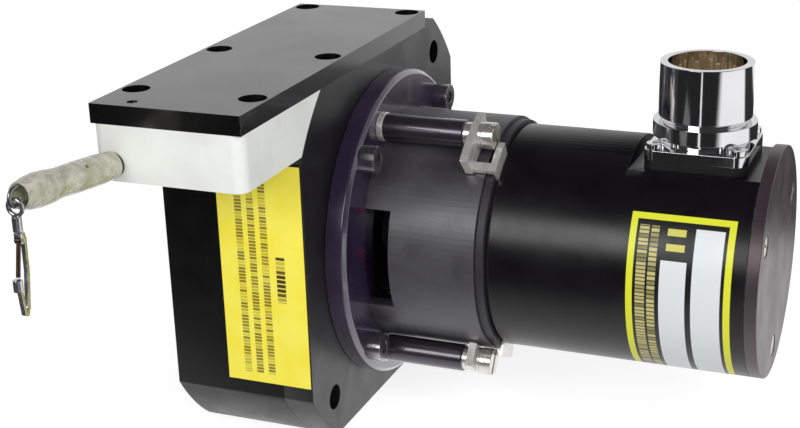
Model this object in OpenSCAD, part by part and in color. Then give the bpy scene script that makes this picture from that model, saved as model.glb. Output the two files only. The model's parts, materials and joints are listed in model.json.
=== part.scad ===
// Draw wire encoder: a spring-wound wire drum in a flat black housing, with a
// 58 mm shaft encoder carried in front of it on a bell and three servo clamps.
// +X runs along the shaft towards the encoder, the wire leaves towards -Y, +Z is up.
// The origin is the middle of the four rear holes, on the base plate's top face.

/* [Drum and wire] */
// Diameter that the wire is wound on
drum_d = 72; // [58:1:90]
// Height of the drum's rims over the winding
drum_rim_h = 2; // [1:0.5:4]
// Length of drum surface that takes the wire
winding_w = 12.5; // [8:0.5:16]
// Diameter of the steel wire
wire_d = 1; // [0.6:0.1:1.4]
// Diameter of the drum shaft and of the encoder shaft
shaft_d = 8; // [6:0.5:10]

/* [Housing] */
// Width of the housing and of the base plate, along the shaft
housing_w = 38.4; // [38:0.2:56]
// Thickness of the wall behind the drum
back_wall_t = 3; // [2.5:0.5:6]
// Thickness of the cover on the encoder's side
cover_t = 8; // [7.6:0.2:12]
// Wall between the drum chamber and the top flat
top_wall = 6.7; // [6:0.1:12]
// Wall between the drum chamber and the bottom flat
bottom_wall = 7.1; // [5:0.1:14]
// Wall between the drum chamber and the front flat
front_wall = 11.7; // [9:0.1:16]
// Wall between the drum chamber and the rear flat
rear_wall = 10.5; // [8:0.1:16]
// Wall between the drum chamber and the turned corners
corner_wall = 20.5; // [18:0.5:26]

/* [Base plate and guide block] */
// Thickness of the base plate
plate_t = 4.7; // [4:0.1:8]
// How far the base plate reaches behind the shaft
plate_back = 30.6; // [28:0.2:34]
// Step in the housing that the plate's rear end sits against
plate_step = 1.2; // [0.6:0.1:2]
// How far the guide block stands out in front of the housing
block_len = 27.8; // [26:0.2:40]
// Height of the wire above the guide block's underside
block_under = 4; // [3.8:0.1:6]
// Diameter of the mounting holes, clear for M6
mount_hole_d = 6.6; // [6.4:0.1:6.8]
// Distance of the mounting holes from the plate's long edges
mount_inset = 4; // [3.8:0.1:4.4]
// Distance of the rear mounting holes from the plate's rear end
mount_rear = 3.6; // [3.6:0.1:5]
// Pitch of the four rear mounting holes along the plate
mount_pitch = 52; // [44:0.5:56]

/* [Bell and clamps] */
// Diameter of the round flange on the housing
flange_d = 82; // [78:0.5:88]
// Thickness of the flange
flange_t = 5.5; // [5:0.1:8]
// Outer diameter of the bell
bell_d = 61.6; // [61:0.1:62]
// Length of the bell in front of the flange
bell_len = 29.9; // [28:0.1:36]
// Height of the windows in the bell
window_h = 26; // [16:0.5:30]
// Length of the windows along the shaft
window_len = 7.2; // [4:0.1:9]
// Diameter of the three posts
post_d = 7; // [6:0.1:7]
// Angle of the first post round the shaft, from the rear
post_angle = 116.5; // [115:0.5:118]

/* [Encoder] */
// Diameter of the encoder's body
encoder_d = 58; // [58:0.5:60]
// Length of the encoder's body behind its clamping groove
encoder_len = 65.6; // [60:0.2:80]
// Thickness of the encoder's end cap
end_cap_t = 3; // [2.5:0.1:5]
// Distance from the groove to the connector's axis
connector_x = 46.4; // [42:0.2:47]
// Outer diameter of the connector's thread
connector_d = 22.6; // [22:0.1:23]

/* [Wire end] */
// Length of the moulded sleeve on the wire's end
sleeve_len = 31.3; // [28:0.1:40]
// Largest diameter of the sleeve
sleeve_d = 7.8; // [7.6:0.1:9]
// Sideways lean of the sleeve
lean_side = 5.7; // [0:0.1:8]
// Upward lean of the sleeve
lean_up = 4.5; // [0:0.1:6]
// Straight wire that can be drawn out of the block
wire_travel = 75; // [40:1:80]
// Length of the snap hook below its swivel
hook_len = 19.2; // [19:0.2:26]
// Turn of the snap hook on its swivel
hook_turn = 12.5; // [0:0.5:360]

/* [Hidden] */

$fn = 64;

// Gaps and fits
free_gap = 0.3;
run_gap = 0.1;
eps = 0.01;

// Radii of the drum and of the chamber round it
drum_r = drum_d / 2;
rim_r = drum_r + drum_rim_h;
chamber_r = rim_r + 1.5;
wire_r = wire_d / 2;
wire_z = drum_r + wire_r + free_gap;
shaft_r = shaft_d / 2;

// Faces of the housing, seen from the shaft's axis
top_z = chamber_r + top_wall;
bottom_z = -(chamber_r + bottom_wall);
front_y = -(chamber_r + front_wall);
rear_y = chamber_r + rear_wall;
housing_r = chamber_r + corner_wall;
back_x = -housing_w;
chamber_x = back_x + back_wall_t;
cover_x = -cover_t;
plate_top = top_z + plate_t;
block_y = front_y - block_len;
block_z = wire_z - block_under;
block_corner = 3;
block_depth = front_y - block_y + housing_r - top_z + 10;

// Mounting holes of the base plate
mount_rows_x = [back_x + mount_inset, -mount_inset];
mount_y1 = plate_back - mount_rear;
mount_y2 = mount_y1 - mount_pitch;
mount_y3 = front_y - block_len / 2;
tap_r = 2.5;
tap_depth = 9;
block_tap_depth = 5.5;
origin = [-housing_w / 2, (mount_y1 + mount_y2) / 2, plate_top];

// Ball bearings, the same pair on the drum's shaft and on the encoder's
bearing_r = shaft_r + 7;
bearing_w = 7;
ball_n = 7;
ball_r = 1.8;
ball_pitch_r = (bearing_r + shaft_r) / 2;

// The drum along the shaft
rim_t = 1;
drum_x = chamber_x + free_gap;
wire_x = drum_x + rim_t + wire_r + 0.2;
drum_end = drum_x + winding_w + 2 * rim_t;
seat_boss_r = bearing_r + 4;
seat_x = chamber_x + bearing_w;
drum_hub_r = shaft_r + 4;
drum_hub_x = seat_x + 1;
web_t = 3;
first_turn_x = wire_x + wire_d + 0.2;
turn_pitch = wire_d + 0.1;
turns = floor((drum_end - rim_t - first_turn_x) / turn_pitch);

// The power spring between the drum and the cover
case_x = drum_end + 0.5;
case_floor = 1.2;
case_wall = 2;
case_r = chamber_r;
arbor_r = shaft_r + 5;
spring_x = case_x + case_floor + 0.5;
spring_w = cover_x - 1 - spring_x;
spring_t = 0.6;
spring_turns = 9;
spring_steps = 20;

// Screw sizes: radius of the thread, radius and height of the head
m3 = [1.5, 2.75, 3];
m4 = [2, 3.5, 4];
socket_share = 0.5;

// Cover screws in the corners of the housing
cover_screw_r = housing_r - 7.5;
cover_screw_angles = [46, 222.5, 314];
cover_bore_r = 3.25;
cover_bore_depth = 5;
cover_screw_len = 16;
flange_screw_len = flange_t + cover_t - 1.6;

// Plate screws, put in from inside the chamber
plate_screw_y = [-14, 14];
plate_screw_x = back_x + housing_w * 0.48;
plate_head_z = top_z - 4;
plate_screw_bore_r = 3.75;
screw_sunk = 0.9;
plate_thread_z = plate_top - 0.8;

// Guide block screws, bush and dowel
block_screw_at = [[-12, block_y + 20], [-23, block_y + 7]];
block_head_z = block_z + m4[2] + 0.6;
bush_r = 3;
bush_len = 10;
bush_bore_r = wire_r + 0.25;
channel_r = 1.8;
dowel_at = [wire_x + 4.2, block_y + 3.7];
dowel_r = 1.25;
dowel_sunk = 0.5;
dowel_z = wire_z + bush_r + 0.9;
wire_tail = 9;

// Flange and bell on the housing's face
flange_r = flange_d / 2;
spigot_r = 26;
flange_screw_r = flange_r - 3.8;
flange_screw_angles = [50, 136, 222.5, 310];
flange_edge = 1;
recess_r = 20;
shoulder_t = 1.5;
register_r = 28.5;
register_t = 1.5;
bell_r = bell_d / 2;
bell_bore_r = 26.5;
bell_end = flange_t + bell_len;
pilot_r = 25;
pilot_len = 3;

// Posts and servo clamps
post_r = post_d / 2;
post_ring_r = bell_r + post_r + free_gap;
post_angles = [post_angle, post_angle + 120, post_angle + 240];
washer_r = post_ring_r - bell_r - run_gap / 2;
washer_t = 1.7;
post_x = flange_t + washer_t;
post_end = bell_end - 6.8;
stud_len = 5;
spacer_r = 3;
spacer_t = 1.9;
clamp_t = 2;
clamp_x = post_end + spacer_t;
clamp_in_r = bell_r + 0.4;
clamp_out_r = post_ring_r + 3;
clamp_before = 8;
clamp_after = 17;
claw_from = 0;
claw_to = 16;
claw_t = 1.5;
claw_strip = 0.8;
claw_arm = 4;
lock_washer_t = 0.9;
head_r = 3.4;
head_h = 3.2;
clamp_screw_reach = 9;

// Encoder flange with its clamping groove. The bearing's seat starts inside the pilot.
lip_r = bell_r - 0.8;
lip_t = 2.2;
groove_r = lip_r - 2.4;
groove_w = 1;
groove_x = bell_end + lip_t;
body_x = groove_x + groove_w;
body_r = encoder_d / 2;
body_wall = 2;
body_end = body_x + encoder_len - end_cap_t;
encoder_end = body_end + end_cap_t;
spigot_len = 4.4;
hub_r = bearing_r + 3;
seat_front = pilot_len - 1.4;
encoder_bearing_x = bell_end - seat_front + 0.2;
hub_end = encoder_bearing_x + 2 * bearing_w + 0.2;

// Coupling between the shafts
coupling_r = 13;
coupling_x = shoulder_t + 2.2;
hub_w = 8;
spider_t = 4;
jaw_r = shaft_r + 1;
jaw_gap = 0.1;
spider_bore_r = shaft_r + 0.6;
jaw_half = 24;
drum_shaft_end = coupling_x + hub_w + 0.6;
encoder_shaft_x = drum_shaft_end + 2.2;
hub2_x = coupling_x + hub_w + spider_t;

// Inside the encoder
encoder_shaft_end = hub_end + 8;
disc_hub_r = shaft_r + 3;
disc_hub_x = hub_end + 1.2;
disc_r = 21;
disc_t = 1;
disc_x = disc_hub_x + 2.4;
board_r = body_r - 3.5;
board_t = 1.6;
board_x = encoder_shaft_end + 1;
board2_x = board_x + 10;
pillar_r = 2.2;
pillar_ring_r = body_r - 5.4;
pillar_angles = [30, 150, 270];

// Flat for the connector on top of the encoder
connector_at = body_x + connector_x;
flat_z = body_r - 4;
flat_x = connector_at - 15.5;
flat_end = connector_at + 16.5;
roof_t = 4;
flange_half = 12.5;
flange_corner = 3;
gasket_t = 2.2;
connector_z = flat_z + gasket_t;
connector_flange_t = 2.6;
neck_z = connector_z + connector_flange_t;
neck_r = 10.2;
collar_z = neck_z + 1.8;
collar_r = connector_d / 2 + 1.3;
collar_h = 3.8;
thread_z = collar_z + collar_h + 1;
thread_h = 13.4;
connector_r = connector_d / 2;
socket_r = 9.4;
pin_r = 0.5;
pin_h = 4;
insert_z = thread_z + thread_h - pin_h - 5.2;
connector_screw_at = 9.9;

// End cap screws
cap_screw_r = body_r - 6.5;
cap_boss_r = 5;
cap_boss_len = 11;
cap_head_r = 2.6;
cap_head_h = 1.6;

// Labels
label_t = 0.15;
front_label_x = [back_x + 15.1, -0.4];
front_label_z = [-27.6, 30.5];
body_label_x = [body_x + 34.6, body_x + 59.4];
body_label_angles = [142, 237];

// Fitting on the wire's end, along its own axis from the block's face
loop_wire_r = 0.5;
loop_r = 2;
loop_from = 21.5;
ferrule_from = 11;
crimped_to = ferrule_from + 3;
ferrule_end = loop_from - loop_wire_r;
loop_at = sleeve_len + 1;
ferrule_r = 1.9;
sleeve_bore_r = ferrule_r + 0.05;
loop_bore_r = loop_r + loop_wire_r + 0.1;
pivot_off = [-0.3, 0.5];
exit = [wire_x, block_y, wire_z];
pivot_out = loop_at + pivot_off[1];
pivot = exit + [
    -sin(lean_side) * (pivot_out * cos(lean_up) - pivot_off[0] * sin(lean_up)),
    -cos(lean_side) * (pivot_out * cos(lean_up) - pivot_off[0] * sin(lean_up)),
    pivot_out * sin(lean_up) + pivot_off[0] * cos(lean_up)];

// Snap hook, measured down from the pivot at the top of its eye
eye_r = 1.8;
eye_wire_r = 0.5;
barrel_r = 1.1;
barrel_z = -(2 * eye_r + 0.3);
barrel_h = 3.3;
stem_r = 0.6;
hook_top = barrel_z - barrel_h;
hook_end = hook_top - hook_len;
hook_wire_r = 0.55;
head_top = hook_top - free_gap;
swivel_head_h = 2.4;
swivel_head_r = 1.05;
gate_y = -0.3;
gate_z = head_top - 1.6;
gate_r = 0.5;
gate_cheek_gap = 0.14;
gate_lean = 17;
gate_len = 7.9;
gate_knuckle_r = 0.62;
gate_knuckle_half = gate_r + 0.06;
gate_pin_r = 0.35;
gate_pin_half = 0.95;
slot_half = gate_r + gate_cheek_gap;
nose_y = gate_y - gate_len * sin(gate_lean) - 0.5;
nose_z = gate_z - gate_len;
nose_r = 1.1;
nose_h = 2.6;
spine_y = 2.1;

// ---- Placing ----

// Everything is drawn about the shaft's axis and set down in the part's frame
module in_frame() {
    translate(-origin) children();
}

// Runs a Z-axis shape along +X, from a given place
module along_x(x, y = 0, z = 0) {
    translate([x, y, z]) rotate([0, 90, 0]) children();
}

// A round bar along +X between two places
module bar_x(r, x0, x1, y = 0, z = 0) {
    along_x(x0, y, z) cylinder(r = r, h = x1 - x0);
}

// A ring about a line along +X
module ring_x(r_out, r_in, x0, x1, y = 0, z = 0) {
    difference() {
        bar_x(r_out, x0, x1, y, z);
        bar_x(r_in, x0 - 1, x1 + 1, y, z);
    }
}

// A round bar along +Z
module bar_z(r, x, y, z0, z1) {
    translate([x, y, z0]) cylinder(r = r, h = z1 - z0);
}

// A box between two corners
module box(a, b) {
    translate(a) cube(b - a);
}

// Children repeated at angles round the shaft, each drawn on the +Y side
module round_shaft(angles) {
    for (a = angles) rotate([a, 0, 0]) children();
}

// A sector of a ring about the shaft, from one angle to another
module sector_x(r_in, r_out, x0, x1, a0, a1) {
    rotate([a0, 0, 0]) rotate([90, 0, 90]) translate([0, 0, x0])
        rotate_extrude(angle = a1 - a0) translate([r_in, 0]) square([r_out - r_in, x1 - x0]);
}

// A torus about the shaft's axis
module hoop_x(r, wire, x) {
    along_x(x) rotate_extrude() translate([r, 0]) circle(r = wire, $fn = 24);
}

// A flat bar that follows a path, with round ends and corners
module bar_path(path, w) {
    for (i = [0:len(path) - 2]) {
        v = path[i + 1] - path[i];
        translate(path[i]) rotate(atan2(v[1], v[0])) translate([0, -w / 2]) square([norm(v), w]);
    }
    for (p = path) translate(p) circle(d = w);
}

// A rectangle about the origin with round corners
module round_rect(w, h, r) {
    square([w - 2 * r, h], center = true);
    square([w, h - 2 * r], center = true);
    for (i = [-1, 1], j = [-1, 1]) translate([i * (w / 2 - r), j * (h / 2 - r)]) circle(r = r);
}

// A socket head screw along +X: its head's seat is at x = 0 and its thread runs to -x
module cap_screw_x(size, len) {
    difference() {
        union() {
            bar_x(size[0], -len, 0);
            bar_x(size[1], 0, size[2]);
        }
        along_x(size[2] * socket_share) cylinder(r = size[0] * 0.9, h = size[2], $fn = 6);
    }
}

// ---- Housing ----

// Outline of the housing: a turned disc with four flats
module housing_outline(x0, x1) {
    intersection() {
        bar_x(housing_r, x0, x1);
        union() {
            box([x0, front_y, bottom_z], [x1, rear_y, top_z]);
            box([x0, plate_back, 0], [x1, rear_y, top_z + plate_step]);
        }
    }
}

// Tapped holes under the plate's rear mounting holes, in one row along the plate
module tapped_row(x) {
    for (y = [mount_y1, mount_y2]) bar_z(tap_r, x, y, top_z - tap_depth, top_z + 1);
}

module drum_housing() {
    color("#1c1c1f") in_frame() difference() {
        union() {
            difference() {
                housing_outline(back_x, cover_x);
                bar_x(chamber_r, chamber_x, cover_x + 1);
                // Slot that the wire crosses on its way to the guide block
                box([wire_x - 1.4, front_y - 1, wire_z - channel_r],
                    [drum_end - rim_t, -chamber_r / 4, wire_z + channel_r]);
            }
            ring_x(seat_boss_r, bearing_r, chamber_x - eps, seat_x);
        }
        tapped_row(mount_rows_x[0]);
        for (y = plate_screw_y) {
            bar_z(plate_screw_bore_r, plate_screw_x, y, 0, plate_head_z);
            bar_z(m4[0], plate_screw_x, y, 0, top_z + 1);
        }
        round_shaft(cover_screw_angles)
            bar_x(m3[0], cover_x - cover_screw_len, cover_x + 1, cover_screw_r);
    }
}

module housing_cover() {
    color("#1e1e21") in_frame() difference() {
        housing_outline(cover_x, 0);
        bar_x(spigot_r, cover_x - 1, 1);
        tapped_row(mount_rows_x[1]);
        round_shaft(cover_screw_angles) {
            bar_x(m3[0], cover_x - 1, 1, cover_screw_r);
            bar_x(cover_bore_r, -cover_bore_depth, 1, cover_screw_r);
        }
        round_shaft(flange_screw_angles) bar_x(m4[0], flange_t - flange_screw_len - 0.2, 1, flange_screw_r);
    }
}

module cover_screws() {
    color("#2a2a2c") in_frame() round_shaft(cover_screw_angles)
        translate([-cover_bore_depth, cover_screw_r, 0])
            cap_screw_x(m3, cover_screw_len + cover_t - cover_bore_depth - 1);
}

module base_plate() {
    color("#26272a") in_frame() difference() {
        box([back_x, block_y, top_z], [0, plate_back, plate_top]);
        for (x = mount_rows_x, y = [mount_y1, mount_y2, mount_y3])
            bar_z(mount_hole_d / 2, x, y, top_z - 1, plate_top + 1);
        for (y = plate_screw_y) bar_z(m4[0], plate_screw_x, y, top_z - 1, plate_thread_z);
        for (p = block_screw_at) bar_z(m4[0], p[0], p[1], top_z - 1, plate_thread_z);
        bar_z(dowel_r, dowel_at[0], dowel_at[1], top_z - 1, plate_top + 1);
    }
}

// A plate screw: a socket head screw that points up, from below
module rising_screw(x, y, seat_z) {
    translate([x, y, seat_z]) rotate([0, 90, 0]) cap_screw_x(m4, plate_top - screw_sunk - seat_z);
}

module plate_screws() {
    color("#303033") in_frame() for (y = plate_screw_y) rising_screw(plate_screw_x, y, plate_head_z);
}

module guide_block() {
    color("#e9eae6") in_frame() difference() {
        translate([back_x / 2, block_y + block_depth / 2, block_z])
            linear_extrude(top_z - block_z) round_rect(housing_w, block_depth, block_corner);
        housing_outline(back_x - 1, 1);
        for (x = mount_rows_x) bar_z(tap_r, x, mount_y3, top_z - block_tap_depth, top_z + 1);
        for (p = block_screw_at) {
            bar_z(m4[0], p[0], p[1], block_z - 1, top_z + 1);
            bar_z(plate_screw_bore_r, p[0], p[1], block_z - 1, block_head_z);
        }
        bar_z(dowel_r, dowel_at[0], dowel_at[1], dowel_z, top_z + 1);
        // Bore for the bush at the front and a wider channel behind it
        translate(exit) rotate([-90, 0, 0]) translate([0, 0, -1]) cylinder(r = bush_r, h = bush_len + 1);
        translate(exit) rotate([-90, 0, 0]) cylinder(r = channel_r, h = block_len + 10);
    }
}

module block_screws() {
    color("#303033") in_frame() for (p = block_screw_at)
        rising_screw(p[0], p[1], block_head_z);
}

module dowel_pin() {
    color("#3a3a3c") in_frame()
        bar_z(dowel_r, dowel_at[0], dowel_at[1], dowel_z, plate_top - dowel_sunk);
}

module guide_bush() {
    color("#c8c9cc") in_frame() translate(exit) rotate([-90, 0, 0]) difference() {
        cylinder(r = bush_r, h = bush_len);
        translate([0, 0, -1]) cylinder(r = bush_bore_r, h = bush_len + 2);
    }
}

// ---- Spring motor ----

module spring_case() {
    color("#6c6f73") in_frame() difference() {
        bar_x(case_r, case_x, cover_x);
        bar_x(case_r - case_wall, case_x + case_floor, cover_x + 1);
        bar_x(arbor_r + 1, case_x - 1, cover_x);
    }
}

// Flat spiral spring between the arbor and the case
module power_spring() {
    r0 = arbor_r + free_gap + spring_t / 2;
    r1 = case_r - case_wall - spring_t / 2;
    n = spring_turns * spring_steps;
    function spiral(side, i) = let (
        r = r0 + (r1 - r0) * i / n + side * spring_t / 2,
        a = 360 * i / spring_steps) [r * cos(a), r * sin(a)];
    color("#7f8794") in_frame() along_x(spring_x) linear_extrude(spring_w)
        polygon(concat([for (i = [0:n]) spiral(1, i)], [for (i = [n:-1:0]) spiral(-1, i)]));
}

module spring_arbor() {
    color("#8d8f92") in_frame() ring_x(arbor_r, shaft_r, spring_x, spring_x + spring_w);
}

// ---- Drum ----

module wire_drum() {
    hub_end_x = drum_end - 0.2;
    color("#b9bcc0") in_frame() difference() {
        union() {
            bar_x(drum_r, drum_x, drum_end);
            bar_x(rim_r, drum_x, drum_x + rim_t);
            bar_x(rim_r, drum_end - rim_t, drum_end);
        }
        difference() {
            bar_x(drum_r - 3.5, drum_x - 1, drum_end - rim_t - web_t);
            bar_x(drum_hub_r, drum_hub_x, drum_end);
        }
        bar_x(drum_r - 3.5, hub_end_x, drum_end + 1);
        bar_x(shaft_r, drum_x - 1, drum_end + 1);
        bar_z(m3[0], drum_hub_x + 3, 0, -drum_hub_r - 1, drum_hub_r + 1);
    }
}

module drum_shaft() {
    color("#c9cacc") in_frame() difference() {
        bar_x(shaft_r, chamber_x + 0.2, drum_shaft_end);
        bar_z(m3[0], drum_hub_x + 3, 0, -shaft_r - 1, shaft_r + 1);
    }
}

module drum_pin() {
    color("#77797c") in_frame() bar_z(m3[0], drum_hub_x + 3, 0, -drum_hub_r + 0.2, drum_hub_r - 0.2);
}

module wound_wire() {
    color("#a9abad") in_frame() for (i = [0:turns - 1])
        hoop_x(drum_r + wire_r + 0.05, wire_r, first_turn_x + i * turn_pitch);
}

// Ball bearing pieces, with the bearing's front face at x
module race_out(x) {
    difference() {
        ring_x(bearing_r, ball_pitch_r + 1.2, x, x + bearing_w);
        hoop_x(ball_pitch_r, ball_r + run_gap / 2, x + bearing_w / 2);
    }
}

module race_in(x) {
    difference() {
        ring_x(ball_pitch_r - 1.2, shaft_r, x, x + bearing_w);
        hoop_x(ball_pitch_r, ball_r + run_gap / 2, x + bearing_w / 2);
    }
}

module balls(x) {
    round_shaft([for (i = [0:ball_n - 1]) i * 360 / ball_n])
        translate([x + bearing_w / 2, ball_pitch_r, 0]) sphere(r = ball_r, $fn = 24);
}

drum_bearings = [chamber_x, -bearing_w];
encoder_bearings = [encoder_bearing_x, encoder_bearing_x + bearing_w + 0.2];

module drum_bearing_outers() {
    color("#8b8e92") in_frame() for (x = drum_bearings) race_out(x);
}

module drum_bearing_inners() {
    color("#9a9da1") in_frame() for (x = drum_bearings) race_in(x);
}

module drum_bearing_balls() {
    color("#d4d6d9") in_frame() for (x = drum_bearings) balls(x);
}

// ---- Flange, bell, posts and clamps ----

module bell_flange() {
    color("#222027") in_frame() difference() {
        union() {
            bar_x(flange_r, 0, flange_t - flange_edge);
            along_x(flange_t - flange_edge)
                cylinder(r1 = flange_r, r2 = flange_r - flange_edge, h = flange_edge);
            bar_x(spigot_r, cover_x, 0);
        }
        bar_x(bearing_r, cover_x - 1, 0);
        bar_x(shaft_r + 2.2, -1, flange_t);
        bar_x(recess_r, shoulder_t, flange_t + 1);
        bar_x(register_r, flange_t - register_t, flange_t + 1);
        round_shaft(flange_screw_angles) bar_x(m4[0], -1, flange_t + 1, flange_screw_r);
        round_shaft(post_angles) bar_x(m4[0], flange_t - stud_len, flange_t + 1, post_ring_r);
    }
}

module flange_screws() {
    color("#37373a") in_frame() round_shaft(flange_screw_angles)
        translate([flange_t, flange_screw_r, 0]) cap_screw_x(m4, flange_screw_len);
}

module bell_ring() {
    color("#55565b") in_frame() difference() {
        union() {
            bar_x(bell_r, flange_t, bell_end);
            bar_x(register_r, flange_t - register_t, flange_t + 1);
        }
        bar_x(bell_bore_r, 0, bell_end - pilot_len);
        bar_x(pilot_r, 0, bell_end + 1);
        // Windows at the front and at the rear, open towards the flange
        for (side = [-1, 1]) box([flange_t - register_t - 1, side > 0 ? 18 : -bell_r - 1, -window_h / 2],
            [flange_t + window_len, side > 0 ? bell_r + 1 : -18, window_h / 2]);
    }
}

module post_washers() {
    color("#c9c7c0") in_frame() round_shaft(post_angles)
        ring_x(washer_r, m4[0], flange_t, post_x, post_ring_r);
}

module standoff_posts() {
    color("#1b1b20") in_frame() round_shaft(post_angles) difference() {
        union() {
            bar_x(post_r, post_x, post_end, post_ring_r);
            bar_x(m4[0], flange_t - stud_len + 0.2, post_x + 1, post_ring_r);
        }
        bar_x(m4[0], post_end - clamp_screw_reach - 0.4, post_end + 1, post_ring_r);
    }
}

module clamp_spacers() {
    color("#cfccc4") in_frame() round_shaft(post_angles) {
        ring_x(spacer_r, m4[0], post_end, clamp_x, post_ring_r);
        ring_x(spacer_r + 0.3, m4[0], clamp_x + clamp_t, clamp_x + clamp_t + lock_washer_t, post_ring_r);
    }
}

// One clamp: a plate on the post and a claw that hooks over the encoder's lip
module servo_clamps() {
    claw_start = clamp_x + clamp_t / 2;
    claw_end = groove_x + groove_w - run_gap;
    claw_tip_r = groove_r + free_gap;
    claw_out_r = clamp_in_r + claw_t;
    color("#d8d4cb") in_frame() round_shaft(post_angles) difference() {
        union() {
            sector_x(clamp_in_r + run_gap, clamp_out_r, clamp_x, clamp_x + clamp_t,
                -clamp_before, clamp_after);
            difference() {
                rotate([claw_from, 0, 0]) rotate([90, 0, 90])
                    rotate_extrude(angle = claw_to - claw_from)
                    polygon([[claw_tip_r, groove_x + run_gap], [clamp_in_r, groove_x + run_gap],
                        [clamp_in_r, claw_start], [claw_out_r, claw_start],
                        [claw_out_r, claw_end], [claw_tip_r, claw_end]]);
                // Only a slim arm at one end joins the claw to the plate
                sector_x(clamp_in_r - 1, claw_out_r + 1, claw_start - 1, groove_x - claw_strip,
                    claw_from - 1, claw_to - claw_arm);
            }
        }
        bar_x(m4[0], clamp_x - 1, clamp_x + clamp_t + 1, post_ring_r);
    }
}

module clamp_screws() {
    seat = clamp_x + clamp_t + lock_washer_t;
    color("#dedbd4") in_frame() round_shaft(post_angles) difference() {
        union() {
            bar_x(m4[0], post_end - clamp_screw_reach, seat, post_ring_r);
            bar_x(head_r, seat, seat + head_h, post_ring_r);
        }
        box([seat + head_h - 1.2, post_ring_r - head_r - 1, -0.5],
            [seat + head_h + 1, post_ring_r + head_r + 1, 0.5]);
    }
}

// ---- Coupling ----

// Two jaws that stand on a hub's face, over a third of the gap's length
module jaws(x0, x1, turn) {
    for (a = [0, 180])
        sector_x(jaw_r, coupling_r - 0.5, x0, x1, a + turn - jaw_half, a + turn + jaw_half);
}

module coupling_hub_drum() {
    color("#a7a9ad") in_frame() difference() {
        union() {
            bar_x(coupling_r, coupling_x, coupling_x + hub_w);
            jaws(coupling_x + hub_w - eps, coupling_x + hub_w + spider_t - 0.3, 0);
        }
        bar_x(shaft_r, coupling_x - 1, coupling_x + hub_w + spider_t);
        bar_z(m3[0], coupling_x + hub_w / 2, 0, shaft_r - 1, coupling_r + 1);
    }
}

module coupling_hub_encoder() {
    color("#a7a9ad") in_frame() difference() {
        union() {
            bar_x(coupling_r, hub2_x, hub2_x + hub_w);
            jaws(hub2_x - spider_t + 0.3, hub2_x + eps, 90);
        }
        bar_x(shaft_r, hub2_x - spider_t - 1, hub2_x + hub_w + 1);
        bar_z(m3[0], hub2_x + hub_w / 2, 0, shaft_r - 1, coupling_r + 1);
    }
}

module coupling_spider() {
    x0 = coupling_x + hub_w;
    color("#b3121d") in_frame() difference() {
        bar_x(coupling_r, x0, hub2_x);
        bar_x(spider_bore_r, x0 - 1, hub2_x + 1);
        for (a = [0:90:270])
            sector_x(jaw_r - jaw_gap, coupling_r + 1, x0 - 1, hub2_x + 1,
                a - jaw_half - 0.6, a + jaw_half + 0.6);
    }
}

module coupling_screws() {
    color("#2c2c2f") in_frame() for (x = [coupling_x, hub2_x])
        bar_z(m3[0], x + hub_w / 2, 0, shaft_r, coupling_r - 1);
}

// ---- Encoder ----

module encoder_flange() {
    color("#4b484f") in_frame() difference() {
        union() {
            bar_x(pilot_r, bell_end - pilot_len, bell_end);
            bar_x(lip_r, bell_end, groove_x);
            bar_x(groove_r, groove_x - eps, body_x);
            bar_x(body_r - body_wall, body_x - eps, body_x + spigot_len);
            bar_x(hub_r, body_x, hub_end);
        }
        bar_x(bearing_r, encoder_bearing_x, hub_end + 1);
        bar_x(shaft_r + 1.5, 0, encoder_bearing_x + 1);
    }
}

module encoder_shaft() {
    color("#c9cacc") in_frame() bar_x(shaft_r, encoder_shaft_x, encoder_shaft_end);
}

module encoder_bearing_outers() {
    color("#8b8e92") in_frame() for (x = encoder_bearings) race_out(x);
}

module encoder_bearing_inners() {
    color("#9a9da1") in_frame() for (x = encoder_bearings) race_in(x);
}

module encoder_bearing_balls() {
    color("#d4d6d9") in_frame() for (x = encoder_bearings) balls(x);
}

module disc_hub() {
    color("#b08d4b") in_frame() {
        ring_x(disc_hub_r + 2, shaft_r, disc_hub_x, disc_x);
        ring_x(disc_hub_r, shaft_r, disc_x, disc_x + disc_t + 1);
    }
}

module code_disc() {
    color("#9fc3cf") in_frame() ring_x(disc_r, disc_hub_r, disc_x, disc_x + disc_t);
}

module read_head() {
    bottom = -board_r + 1.5;
    color("#2d3436") in_frame() rotate([-60, 0, 0]) difference() {
        box([disc_x - 3, -5, bottom], [board_x, 5, -disc_r + 5]);
        box([disc_x - 0.6, -6, -disc_r - 0.6], [disc_x + disc_t + 0.6, 6, 0]);
    }
}

module sensor_board() {
    color("#1f6b3a") in_frame() difference() {
        bar_x(board_r, board_x, board_x + board_t);
        round_shaft(pillar_angles) bar_x(1, board_x - 1, board_x + board_t + 1, pillar_ring_r);
    }
}

module main_board() {
    x1 = board2_x + board_t;
    color("#1f6b3a") in_frame() {
        difference() {
            bar_x(board_r, board2_x, x1);
            box([board2_x - 1, -board_r, flat_z - roof_t - 1], [x1 + 1, board_r, board_r + 1]);
            round_shaft(pillar_angles) bar_x(1, board2_x - 1, x1 + 1, pillar_ring_r);
        }
        // Terminal block and two chips
        box([x1, -9, 8], [x1 + 8, 9, 14]);
        box([x1, -12, -12], [x1 + 2, -3, -3]);
        box([x1, 3, -12], [x1 + 1.6, 12, 0]);
    }
}

module board_pillars() {
    color("#b9a15e") in_frame() round_shaft(pillar_angles) {
        ring_x(pillar_r, 1, body_x + spigot_len, board_x, pillar_ring_r);
        ring_x(pillar_r, 1, board_x + board_t, board2_x, pillar_ring_r);
    }
}

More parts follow.
